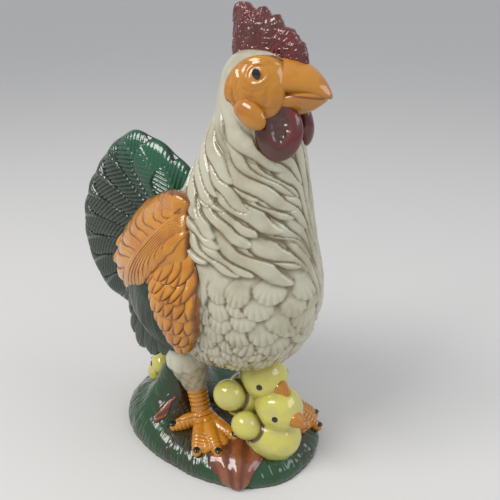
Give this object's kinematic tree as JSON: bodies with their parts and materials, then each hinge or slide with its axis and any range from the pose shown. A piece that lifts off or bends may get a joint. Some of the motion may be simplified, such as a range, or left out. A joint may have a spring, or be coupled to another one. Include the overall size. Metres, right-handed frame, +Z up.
{
  "type": "ceramic hen figurine",
  "caption": "Glazed ceramic hen standing on an oval grassy mound with chicks nestled between its feet; a free-standing ornament.",
  "frame": {"origin": "middle of the mound's flat underside", "axes": "+Z up through the hen, -Y the way the hen faces, -X the hen's right side"},
  "size_m": [0.124, 0.23, 0.3301],
  "materials": {
    "white_glaze": "cream white glaze with brown wash in the hollows",
    "orange_glaze": "gloss orange glaze, worn to brown in the hollows",
    "yellow_glaze": "gloss lemon yellow glaze",
    "maroon_glaze": "gloss maroon glaze over a gritty surface",
    "tail_green_glaze": "gloss dark green glaze",
    "grass_green_glaze": "gloss dark green glaze with brown patches",
    "leaf_brown_glaze": "gloss red-brown glaze"
  },
  "bodies": {
    "root": {"base_mound": "grass_green_glaze", "beak_lower": "orange_glaze", "beak_upper": "orange_glaze", "body_shell": "white_glaze", "chick_front_beak": "orange_glaze", "chick_front_body": "yellow_glaze", "chick_front_head": "yellow_glaze", "chick_front_wing": "yellow_glaze", "chick_rear_beak": "orange_glaze", "chick_rear_body": "yellow_glaze", "chick_rear_head": "yellow_glaze", "chick_upper_beak": "orange_glaze", "chick_upper_body": "yellow_glaze", "chick_upper_head": "yellow_glaze", "chick_upper_wing": "yellow_glaze", "comb": "maroon_glaze", "ear_lobe_left": "orange_glaze", "ear_lobe_right": "orange_glaze", "face_patch_left": "orange_glaze", "face_patch_right": "orange_glaze", "foot_left": "orange_glaze", "foot_right": "orange_glaze", "head": "white_glaze", "leaf_front": "leaf_brown_glaze", "leaf_side": "leaf_brown_glaze", "saddle_plume_left": "orange_glaze", "saddle_plume_right": "orange_glaze", "shank_left": "orange_glaze", "shank_right": "orange_glaze", "tail_fan": "tail_green_glaze", "thigh_left": "white_glaze", "thigh_right": "white_glaze", "wattle_left": "maroon_glaze", "wattle_right": "maroon_glaze", "wing_coverts_left": "orange_glaze", "wing_coverts_right": "orange_glaze", "wing_flights_left": "tail_green_glaze", "wing_flights_right": "tail_green_glaze"}
  },
  "joints": []
}
